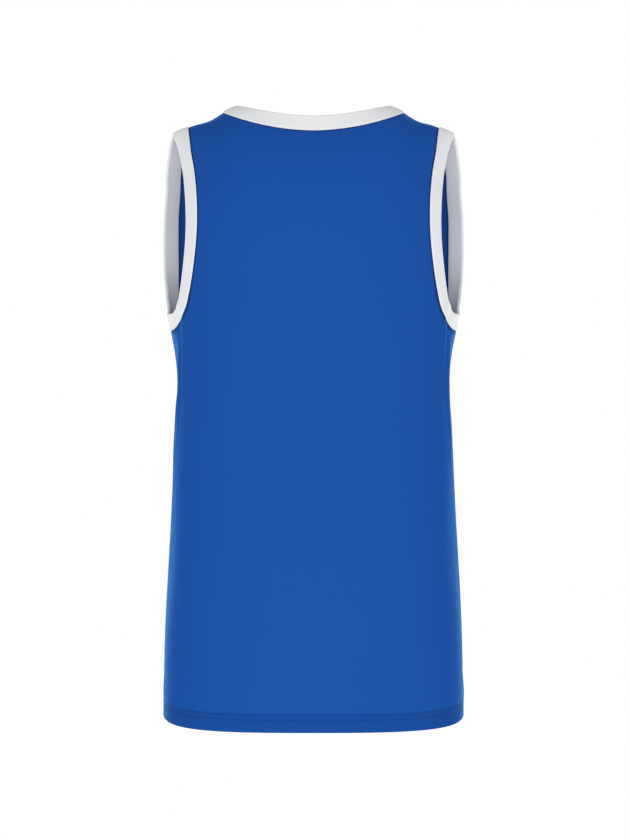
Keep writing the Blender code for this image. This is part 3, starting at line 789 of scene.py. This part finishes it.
def make_band(name, ring, settings, finish):
    """A band of folded rib: its outline carried round the closed seam, given its wall by Solidify.

    Its UV map is the length round the ring and along the outline, cut open where the ring starts.
    """
    width, height = band_profile()
    points = band_points(ring, width, height)
    count, around = points.shape[:2]
    faces = grid_faces(np.arange(count * around).reshape(count, around), closed_rows=True)
    across, upward, along = band_frame(ring)
    if np.sum(np.cross(along, across) * upward) > 0:
        faces = faces[:, ::-1]
    piece = mesh_object(name, points.reshape(-1, 3), faces, finish)
    strip = running_length(np.stack([width, height], axis=-1))
    row, column = faces // around, faces % around
    wraps = (row.max(axis=1) == count - 1) & (row.min(axis=1) == 0)
    row = np.where(wraps[:, None] & (row == 0), count, row)
    set_uv(piece.data, np.stack([row / count * ring.length, strip[column]], axis=-1))
    add_wall(piece, settings.wall)
    return piece


# ---- Seams and stitching ----


def at_lengths(points, values, at):
    """Values along a line of points, read at running lengths from its start."""
    length = running_length(points)
    flat = np.stack([np.interp(at.ravel(), length, column) for column in values.T], axis=-1)
    return flat.reshape(*at.shape, values.shape[1])


def stitch_row(points, normals, pitch, thread, lift=0.0):
    """Stitches along a line on the cloth: short threads whose two ends sink into it."""
    length = running_length(points)[-1]
    count = int(length / pitch)
    along = np.linspace(-0.5, 0.5, len(STITCH_LIFT)) * STITCH_SHARE
    at = (np.arange(count)[:, None] + 0.5 + along) * (length / count)
    path, normal = at_lengths(points, points, at), unit(at_lengths(points, normals, at))
    path = path + normal * (np.array(STITCH_LIFT) + lift)[:, None]
    return capped_tubes(path, normal, thread / 2, STITCH_SIDES)


def join_tubes(parts):
    """Points, quads and triangles of several groups of tubes, as one."""
    points, quads, triangles = zip(*parts)
    shifts = np.cumsum([0] + [len(group) for group in points[:-1]])
    quads = [group + shift for group, shift in zip(quads, shifts)]
    triangles = [group + shift for group, shift in zip(triangles, shifts)]
    return np.concatenate(points), np.concatenate(quads), np.concatenate(triangles)


def hem_line(panel, height):
    """A row round a panel above the hem's edge, from one side seam to the other, with its normals."""
    turn = np.linspace(0, np.pi / 2, CURVE_STEPS)
    drop = HEM_DROP - height - hem_rise(turn, HEM_DROP - height)
    right, left = (cloth(panel, side, turn, drop)[:2] for side in (-1, 1))
    return [np.concatenate([b[:0:-1], a]) for a, b in zip(left, right)]


def hem_stitches(panel, settings):
    """The two rows of needle stitches on the hem's outside."""
    lines = [hem_line(panel, height) for height in HEM_STITCH_ROWS]
    pitch, thread = settings.pitch / MM, settings.thread / MM
    return join_tubes([stitch_row(*line, pitch, thread, -STITCH_DENT) for line in lines])


def cover_threads(panel, settings, wall):
    """The looped threads inside the hem, which swing between the two needle rows.

    Each is a sine wave round the hem, on the inner layer's face.
    """
    points, normals = hem_line(panel, sum(HEM_STITCH_ROWS) / 2)
    pitch, thread = settings.pitch / MM, settings.thread / MM
    length = running_length(points)[-1]
    at = np.linspace(COVER_END, length - COVER_END, int(length / pitch) * COVER_STEPS)[None]
    line, normal = at_lengths(points, points, at), unit(at_lengths(points, normals, at))
    parts = []
    for phase in COVER_PHASES:
        path = line - normal * (2 * wall + HEM_FOLD_GAP + COVER_SINK * thread)
        path[..., 2] += COVER_REACH * np.sin(2 * np.pi * (at / pitch + phase))
        parts.append(capped_tubes(path, normal, thread / 2, STITCH_SIDES))
    return join_tubes(parts)


def ring_line(ring, width, height):
    """A closed line on a band at a width and height of its outline, with the band's upward direction."""
    points = band_points(ring, np.array([width]), np.array([height]))[:, 0]
    upward = band_frame(ring)[1]
    return np.concatenate([points, points[:1]]), np.concatenate([upward, upward[:1]])


def band_stitches(ring, settings):
    """The row of small stitches on a band's inner face."""
    points, upward = ring_line(ring, BAND_STITCH_INSET, -PANEL_WALL / 2 - BAND_WALL / 2)
    return stitch_row(points, -upward, BAND_STITCH_PITCH, settings.thread / MM)


def ring_cord(ring):
    """The sewn edges' roll under a band's seam, once round."""
    path, upward = (line[None] for line in ring_line(ring, SEAM_GAP / 2, -SEAM_CORD_DEPTH))
    across = sideways(path, upward)
    cut = np.s_[:, :-1]
    points, quads, number = tubes(path[cut], across[cut], upward[cut], SEAM_CORD_RADIUS, SEAM_CORD_SIDES)
    first, last = number[0, 0], number[0, -1]
    closing = np.stack([last, first, np.roll(first, -1), np.roll(last, -1)], axis=-1)
    return points, np.concatenate([quads, closing]), np.empty((0, 3), int)


def panel_cord(side, turns, drops):
    """The sewn edges' roll under a side or shoulder seam."""
    points, normals, _ = cloth("back", side, turns, drops)
    points = points - (0, SEAM_GAP / 2, 0) - normals * SEAM_CORD_DEPTH
    return capped_tubes(points[None], normals[None], SEAM_CORD_RADIUS, SEAM_CORD_SIDES)


def plain_seams():
    """The rolls of the two side seams and the two shoulder seams."""
    arm_turn, arm_drop = arm_seam("back")
    under_arm, above_hem = SIDE_SEAM_ENDS
    down = np.linspace(arm_drop[-1] + under_arm, HEM_DROP - HEM_RISE - above_hem, SEAM_PATH_POINTS)
    over = np.linspace(neck_seam("back")[0][-1], arm_turn[0], SEAM_PATH_POINTS)
    parts = []
    for side in (1, -1):
        parts.append(panel_cord(side, np.full_like(down, np.pi / 2), down))
        parts.append(panel_cord(side, over, np.zeros_like(over)))
    return join_tubes(parts)


def add_threads(name, shape, finish):
    """A piece of thread, from its points, quads and triangles."""
    points, quads, triangles = shape
    settle(mesh_object(name, points, quads, finish, triangles=triangles))


# ---- Materials ----

# Each weave: its node group's name, the name and size of a column, the size of a row, how far the
# loops of two legs slant, how much of the height they take away, and the power that narrows the gaps
Weave = namedtuple("Weave", "name column_name column row slant loop_depth gap_power")
KNIT = Weave("knit_loops", "Wale", 0.0009, 0.0007, 0.7, 0.5, 3.0)
RIB = Weave("rib_cords", "Rib", 0.0014, 0.0009, 0.0, 0.25, 4.0)

# Uneven dye and loose fibres: how far a broad and a fine noise make the colour lighter and darker
KNIT_TONE = {"Broad": 0.05, "Fine": 0.06}
RIB_TONE = {"Broad": 0.02, "Fine": 0.03}
THREAD_TONE = {"Broad": 0.05, "Fine": 0.15}
FLOOR_TONE = {"Broad": 0.03, "Fine": 0.0}
NOISES = {"Broad": {"Scale": 7.0, "Detail": 3.0}, "Fine": {"Scale": 900.0, "Detail": 2.0}}
TONE_GROUP = "fabric_tone"

# Depths are in millimetres. The last value is painted shade in the gaps between the loops: how much darker
# the colour is made there.
Finish = namedtuple(
    "Finish",
    "tone roughness rough_sway specular sheen sheen_tint sheen_roughness bump_depth fuzz_depth gap_shade",
)
WHITE = (1.0, 1.0, 1.0, 1.0)
PALE_BLUE = (0.19, 0.57, 1.0, 1.0)
KNIT_FINISH = Finish(KNIT_TONE, 0.45, 0.10, 0.0, 0.7, PALE_BLUE, 0.25, 0.10, 0.03, 0.22)
RIB_FINISH = Finish(RIB_TONE, 0.72, 0.10, 0.2, 0.05, WHITE, 0.50, 0.20, 0.04, 0.16)
FABRIC_BUMP = 0.5
SEAM_PAINTED_SHADE = 0.7  # painted shade beside a seam: how much darker the colour is made right at it
SEAM_PAINTED_SHADE_REACH = (0.7, 4.4)  # distances from a seam between which that painted shade gives way
HEM_PAINTED_SHADE = 0.15  # painted shade over the hem, where the cloth lies double: how much darker the colour is made there
THREAD_ROUGHNESS = 0.42
THREAD_SPECULAR = 0.35
THREAD_TWIST_DEPTH = 0.02
THREAD_BUMP = 0.4


def put(node, values):
    """Gives a node's inputs their values; a value that is a socket is linked."""
    for name, value in values.items():
        if isinstance(value, bpy.types.NodeSocket):
            node.id_data.links.new(value, node.inputs[name])
        else:
            node.inputs[name].default_value = value


def add_node(tree, kind, values=None, **settings):
    """A node with its settings and input values."""
    made = tree.nodes.new(kind)
    for name, value in settings.items():
        setattr(made, name, value)
    put(made, values or {})
    return made


def maths(tree, operation, first, second=0.0, third=0.0):
    """Result of a Math node on numbers or sockets."""
    return add_node(tree, "ShaderNodeMath", {0: first, 1: second, 2: third}, operation=operation).outputs[0]


def half_wave(tree, share):
    """A half sine wave over a share that goes from 0 to 1."""
    return maths(tree, "SINE", maths(tree, "MULTIPLY", share, np.pi))


def new_group(name, inputs, outputs):
    """An empty node group. An input is given by its default number, or else by its socket's kind."""
    group = bpy.data.node_groups.new(name, "ShaderNodeTree")
    for label, value in inputs.items():
        kind = value if isinstance(value, str) else "Float"
        socket = group.interface.new_socket(label, in_out="INPUT", socket_type=f"NodeSocket{kind}")
        if kind == "Float":
            socket.default_value = value
    for label, kind in outputs.items():
        group.interface.new_socket(label, in_out="OUTPUT", socket_type=f"NodeSocket{kind}")
    return group, group.nodes.new("NodeGroupInput").outputs, group.nodes.new("NodeGroupOutput")


def weave_group(weave):
    """Columns of loops. Height is their round backs, and Gap is what lies between them.

    Height is a half sine across a column, made lower between its loops by a half sine along it.
    Where the loops slant, a column has two legs, whose loops meet in a V.
    """
    inputs = {"Vector": "Vector", weave.column_name: weave.column, "Course": weave.row}
    group, entry, leave = new_group(weave.name, inputs, {"Height": "Float", "Gap": "Float"})
    place = add_node(group, "ShaderNodeSeparateXYZ", {0: entry["Vector"]}).outputs
    across = maths(group, "FRACT", maths(group, "DIVIDE", place["X"], entry[weave.column_name]))
    row = maths(group, "DIVIDE", place["Y"], entry["Course"])
    if weave.slant:
        off_centre = maths(group, "SUBTRACT", across, 0.5)
        across = maths(group, "MULTIPLY", maths(group, "ABSOLUTE", off_centre), 2.0)
        row = maths(group, "SUBTRACT", row, maths(group, "MULTIPLY", across, weave.slant))
    loop = half_wave(group, maths(group, "FRACT", row))
    loop = maths(group, "MULTIPLY_ADD", loop, weave.loop_depth, 1.0 - weave.loop_depth)
    height = maths(group, "MULTIPLY", half_wave(group, across), loop)
    gap = maths(group, "POWER", maths(group, "SUBTRACT", 1.0, height), weave.gap_power)
    put(leave, {"Height": height, "Gap": gap})
    return group


def tone_group():
    """A colour made lighter and darker by a broad and a fine noise, and darker still by the painted shade
    it is given. The group is made once.
    """
    if TONE_GROUP in bpy.data.node_groups:
        return bpy.data.node_groups[TONE_GROUP]
    inputs = {"Color": "Color", "Vector": "Vector", "Broad": 0.0, "Fine": 0.0, "Shade": 0.0}
    group, entry, leave = new_group(TONE_GROUP, inputs, {"Color": "Color", "Fibre": "Float"})
    light = 1.0
    for name, values in NOISES.items():
        noise = add_node(group, "ShaderNodeTexNoise", {"Vector": entry["Vector"], **values})
        sway = maths(group, "SUBTRACT", noise.outputs["Fac"], 0.5)
        light = maths(group, "MULTIPLY_ADD", sway, entry[name], light)
    # The painted shade darkens the colour.
    light = maths(group, "MULTIPLY", light, maths(group, "SUBTRACT", 1.0, entry["Shade"]))
    tinted = add_node(group, "ShaderNodeVectorMath", operation="SCALE")
    put(tinted, {0: entry["Color"], "Scale": light})
    put(leave, {"Color": tinted.outputs[0], "Fibre": noise.outputs["Fac"]})
    return group


def toned(name, colour, tone_values):
    """A material with an uneven tone by place, and its shader and tone node."""
    made = bpy.data.materials.new(name)
    made.use_nodes = True
    made.diffuse_color = (*colour, 1.0)
    tree = made.node_tree
    place = tree.nodes.new("ShaderNodeTexCoord").outputs["Object"]
    values = {"Color": (*colour, 1.0), "Vector": place, **tone_values}
    tone = add_node(tree, "ShaderNodeGroup", values, node_tree=tone_group())
    shader = tree.nodes["Principled BSDF"]
    put(shader, {"Base Color": tone.outputs["Color"]})
    return made, shader, tone


def bump(tree, height, depth, strength, below=None):
    """Normal of a relief of this depth in millimetres, on top of the one below."""
    values = {"Height": height, "Distance": depth * MM, "Strength": strength}
    if below is not None:
        values["Normal"] = below
    return add_node(tree, "ShaderNodeBump", values).outputs[0]


def cloth_painted_shade(tree, shade):
    """Painted shade: the one given, made deeper beside the seams and over the double hem and its stitch
    grooves.
    """
    distance = add_node(tree, "ShaderNodeAttribute", attribute_name="seam_distance").outputs["Fac"]
    doubled = add_node(tree, "ShaderNodeAttribute", attribute_name="doubled").outputs["Fac"]
    start, end = SEAM_PAINTED_SHADE_REACH
    values = {"Value": distance, "From Min": start, "From Max": end, "To Min": SEAM_PAINTED_SHADE, "To Max": 0.0}
    near = add_node(tree, "ShaderNodeMapRange", values, interpolation_type="SMOOTHSTEP").outputs[0]
    return maths(tree, "MULTIPLY_ADD", doubled, HEM_PAINTED_SHADE, maths(tree, "MAXIMUM", shade, near))


def fabric(name, colour, weave, sizes, finish, seams=False):
    """A fabric: its weave by the piece's UV map, its tone by place, and a soft sheen on its fibres."""
    made, shader, tone = toned(name, colour, finish.tone)
    tree = made.node_tree
    fibre = tone.outputs["Fibre"]
    uv = tree.nodes.new("ShaderNodeTexCoord").outputs["UV"]
    loops = add_node(tree, "ShaderNodeGroup", node_tree=weave_group(weave))
    put(loops, {"Vector": uv, **sizes})
    # Painted shade: the gaps between the loops are darkened, and on the panels also the cloth beside seams
    # and over the hem.
    shade = maths(tree, "MULTIPLY", loops.outputs["Gap"], finish.gap_shade)
    put(tone, {"Shade": cloth_painted_shade(tree, shade) if seams else shade})
    least = finish.roughness - finish.rough_sway / 2
    relief = bump(tree, loops.outputs["Height"], finish.bump_depth, FABRIC_BUMP)
    values = {
        "Roughness": maths(tree, "MULTIPLY_ADD", fibre, finish.rough_sway, least),
        "Normal": bump(tree, fibre, finish.fuzz_depth, FABRIC_BUMP, relief),
        "Metallic": 0.0,
        "Specular IOR Level": finish.specular,
        "Sheen Weight": finish.sheen,
        "Sheen Tint": finish.sheen_tint,
        "Sheen Roughness": finish.sheen_roughness,
    }
    put(shader, values)
    return made


def thread_finish(name, colour):
    """Polyester thread: smooth, with the same uneven dye as the cloth."""
    made, shader, tone = toned(name, colour, THREAD_TONE)
    twist = bump(made.node_tree, tone.outputs["Fibre"], THREAD_TWIST_DEPTH, THREAD_BUMP)
    put(shader, {"Normal": twist, "Roughness": THREAD_ROUGHNESS, "Specular IOR Level": THREAD_SPECULAR})
    return made


# ---- Stage ----

# The camera stands behind the garment, level with its middle, where the photograph was taken from
CAMERA_PLACE = (-0.0019, 2.2, -0.378)
CAMERA_TURN = (90.0, 0.0, 180.0)
CAMERA_LENS = 74.49
CAMERA_SENSOR = 36.0
FLOOR_RADIUS = 1.6
FLOOR_RINGS = 24
FLOOR_SPOKES = 96
FLOOR_COLOUR = (0.86, 0.86, 0.86)
FLOOR_ROUGHNESS = 0.9

# A large light behind the camera and a tall one at each side: turns in degrees, powers by setting
Light = namedtuple("Light", "name place turn size power")
LIGHTS = (
    Light("main_light", (0.0, 2.6, -0.6), (-90.0, 0.0, 0.0), (1.7, 1.7), "key"),
    Light("side_light_left", (1.45, -1.15, -0.4), (90.0, 0.0, 51.6), (0.8, 1.7), "side"),
    Light("side_light_right", (-1.45, -1.15, -0.4), (90.0, 0.0, -51.6), (0.8, 1.7), "side"),
)


def make_floor(settings):
    """A pale disc: rings of points round its middle, closed by a fan."""
    radius = np.linspace(0, FLOOR_RADIUS, FLOOR_RINGS + 1)[1:, None] / MM
    angle = np.linspace(0, 2 * np.pi, FLOOR_SPOKES, endpoint=False)
    height = np.full((FLOOR_RINGS, FLOOR_SPOKES), -settings.floor_drop / MM)
    ring = np.stack([radius * np.cos(angle), radius * np.sin(angle), height], axis=-1)
    number = np.arange(height.size).reshape(height.shape)
    faces = grid_faces(number, closed_columns=True)
    fan_faces = [np.full(FLOOR_SPOKES, number.size), number[0], np.roll(number[0], -1)]
    points = np.concatenate([ring.reshape(-1, 3), [[0, 0, -settings.floor_drop / MM]]])
    finish, shader, _ = toned("studio_floor", FLOOR_COLOUR, FLOOR_TONE)
    put(shader, {"Roughness": FLOOR_ROUGHNESS})
    floor = mesh_object("floor", points, faces, finish, triangles=np.stack(fan_faces, axis=-1))


def make_world(settings):
    """A white room: pure white where the camera sees it, dimmer as light."""
    world = bpy.data.worlds.new("white_room")
    world.use_nodes = True
    tree = world.node_tree
    tree.nodes.clear()
    seen = tree.nodes.new("ShaderNodeLightPath").outputs["Is Camera Ray"]
    strength = maths(tree, "MULTIPLY_ADD", seen, 1.0 - settings.ambient, settings.ambient)
    room = add_node(tree, "ShaderNodeBackground", {"Color": WHITE, "Strength": strength})
    add_node(tree, "ShaderNodeOutputWorld", {"Surface": room.outputs[0]})
    bpy.context.scene.world = world
    bpy.context.scene.view_settings.view_transform = "Standard"


def make_lights(settings):
    """Soft rectangular lights, which the camera doesn't see."""
    for light in LIGHTS:
        data = bpy.data.lights.new(light.name, "AREA")
        data.shape = "RECTANGLE"
        data.size, data.size_y = light.size
        data.energy = getattr(settings, light.power)
        made = bpy.data.objects.new(light.name, data)
        made.location = light.place
        made.rotation_euler = np.radians(light.turn)
        made.visible_camera = False
        bpy.context.scene.collection.objects.link(made)


def make_camera(scene):
    """The photograph's camera."""
    data = bpy.data.cameras.new("camera")
    data.sensor_fit = "VERTICAL"
    data.sensor_height = CAMERA_SENSOR
    data.lens = CAMERA_LENS
    camera = bpy.data.objects.new("camera", data)
    camera.location = CAMERA_PLACE
    camera.rotation_euler = np.radians(CAMERA_TURN)
    scene.collection.objects.link(camera)
    scene.camera = camera


# ---- Settings ----


def size_setting(name, description, default, least):
    """A length in metres that can be set."""
    return FloatProperty(name=name, description=description, default=default, min=least, unit="LENGTH")


def colour_setting(name, description, default):
    """A colour that can be set."""
    return FloatVectorProperty(name=name, description=description, subtype="COLOR", default=default)


class JerseyClothSettings(bpy.types.PropertyGroup):
    """Sizes and colour of the knitted panels."""

    wall: size_setting("Cloth wall", "Thickness of the knit", 0.0009, 0.0004)
    colour: colour_setting("Cloth colour", "Dye of the panels", (0.0125, 0.078, 0.350))
    wale: size_setting("Wale", "Width of one column of loops", KNIT.column, 0.0003)
    course: size_setting("Course", "Height of one row of loops", KNIT.row, 0.0003)


class JerseyBandSettings(bpy.types.PropertyGroup):
    """Sizes and colour of the rib bands."""

    wall: size_setting("Rib wall", "Thickness of one layer", 0.0009, 0.0004)
    colour: colour_setting("Rib colour", "Colour of the bands", (0.765, 0.778, 0.795))
    rib: size_setting("Rib", "Distance from cord to cord", RIB.column, 0.0005)


class JerseyStitchSettings(bpy.types.PropertyGroup):
    """Sizes and colour of the stitching."""

    pitch: size_setting("Stitch length", "From one stitch to the next", 0.003, 0.001)
    thread: size_setting("Thread", "Thickness of the thread", 0.00036, 0.0001)
    colour: colour_setting("Thread colour", "Hem and seam thread", (0.006, 0.062, 0.33))
    # The band thread's grey colour is painted shade of the stitches and their holes on the bands' inner
    # face.
    band_painted_shade_colour: colour_setting("Band thread colour", "Stitches inside the bands", (0.30, 0.32, 0.37))


class JerseyStageSettings(bpy.types.PropertyGroup):
    """Floor, light and camera."""

    floor_drop: size_setting("Floor drop", "Floor below the shoulders", 1.35, 0.8)
    ambient: FloatProperty(name="Surrounding light", description="Strength of the white room", default=0.58)
    key: FloatProperty(name="Main light", description="Power of the light behind the camera", default=44.0)
    side: FloatProperty(name="Side light", description="Power of each light at the side", default=19.0)


# ---- Operators ----


class JERSEY_OT_panels(bpy.types.Operator):
    """Makes the back and front panels with their turned-up hems"""

    bl_idname = "jersey.panels"
    bl_label = "Panels"

    def execute(self, context):
        settings = context.scene.jersey_cloth
        sizes = {"Wale": settings.wale, "Course": settings.course}
        finish = fabric("jersey_knit_cloth", settings.colour, KNIT, sizes, KNIT_FINISH, seams=True)
        for panel in PANELS:
            make_panel(panel, settings, finish)
        return {"FINISHED"}


class JERSEY_OT_bands(bpy.types.Operator):
    """Makes the neck band and the two armhole bands"""

    bl_idname = "jersey.bands"
    bl_label = "Bands"

    def execute(self, context):
        settings = context.scene.jersey_band
        finish = fabric("rib_knit_white", settings.colour, RIB, {"Rib": settings.rib}, RIB_FINISH)
        for name, ring in band_rings().items():
            piece = make_band(f"{name}_rib", ring, settings, finish)
            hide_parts(BAND_NODES[name])
            settle(piece)
        return {"FINISHED"}


class JERSEY_OT_seams(bpy.types.Operator):
    """Makes the rolls of the seams between the pieces"""

    bl_idname = "jersey.seams"
    bl_label = "Seams"

    def execute(self, context):
        finish = thread_finish("seam_thread_blue", context.scene.jersey_stitch.colour)
        for name, ring in band_rings().items():
            add_threads(f"{name}_seam", ring_cord(ring), finish)
        add_threads("side_and_shoulder_seams", plain_seams(), finish)
        return {"FINISHED"}


class JERSEY_OT_stitching(bpy.types.Operator):
    """Makes the hem's needle rows and looped threads, and the stitches inside the bands"""

    bl_idname = "jersey.stitching"
    bl_label = "Stitching"

    def execute(self, context):
        settings = context.scene.jersey_stitch
        wall = context.scene.jersey_cloth.wall / MM
        blue = thread_finish("hem_thread_blue", settings.colour)
        # Its grey colour is painted shade of the band stitches and their holes.
        white = thread_finish("band_thread_white", settings.band_painted_shade_colour)
        for panel in PANELS:
            add_threads(f"{panel}_hem_stitches", hem_stitches(panel, settings), blue)
            add_threads(f"{panel}_hem_cover", cover_threads(panel, settings, wall), blue)
        rings = band_rings()
        for name, ring in rings.items():
            add_threads(f"{name}_band_stitches", band_stitches(ring, settings), white)
        return {"FINISHED"}


class JERSEY_OT_stage(bpy.types.Operator):
    """Makes the floor, the lights and the camera"""

    bl_idname = "jersey.stage"
    bl_label = "Stage"

    def execute(self, context):
        settings = context.scene.jersey_stage
        make_floor(settings)
        make_world(settings)
        make_lights(settings)
        make_camera(context.scene)
        return {"FINISHED"}


class JERSEY_PT_sidebar(bpy.types.Panel):
    """Shows a button and the settings for each step"""

    bl_idname = "JERSEY_PT_sidebar"
    bl_label = "Basketball jersey"
    bl_space_type = "VIEW_3D"
    bl_region_type = "UI"
    bl_category = "Jersey"

    def draw(self, context):
        for operator, settings in STEPS:
            box = self.layout.box()
            box.operator(operator.bl_idname)
            group = getattr(context.scene, settings)
            for name in group.__annotations__:
                box.prop(group, name)


STEPS = (
    (JERSEY_OT_panels, "jersey_cloth"),
    (JERSEY_OT_bands, "jersey_band"),
    (JERSEY_OT_seams, "jersey_stitch"),
    (JERSEY_OT_stitching, "jersey_stitch"),
    (JERSEY_OT_stage, "jersey_stage"),
)
SETTINGS = {
    "jersey_cloth": JerseyClothSettings,
    "jersey_band": JerseyBandSettings,
    "jersey_stitch": JerseyStitchSettings,
    "jersey_stage": JerseyStageSettings,
}


def register():
    for name, group in SETTINGS.items():
        bpy.utils.register_class(group)
        setattr(bpy.types.Scene, name, PointerProperty(type=group))
    for operator, _ in STEPS:
        bpy.utils.register_class(operator)
    bpy.utils.register_class(JERSEY_PT_sidebar)


def unregister():
    bpy.utils.unregister_class(JERSEY_PT_sidebar)
    for operator, _ in reversed(STEPS):
        bpy.utils.unregister_class(operator)
    for name, group in reversed(SETTINGS.items()):
        delattr(bpy.types.Scene, name)
        bpy.utils.unregister_class(group)


def main():
    register()
    for operator, _ in STEPS:
        area, name = operator.bl_idname.split(".")
        getattr(getattr(bpy.ops, area), name)()


if __name__ == "__main__":
    main()
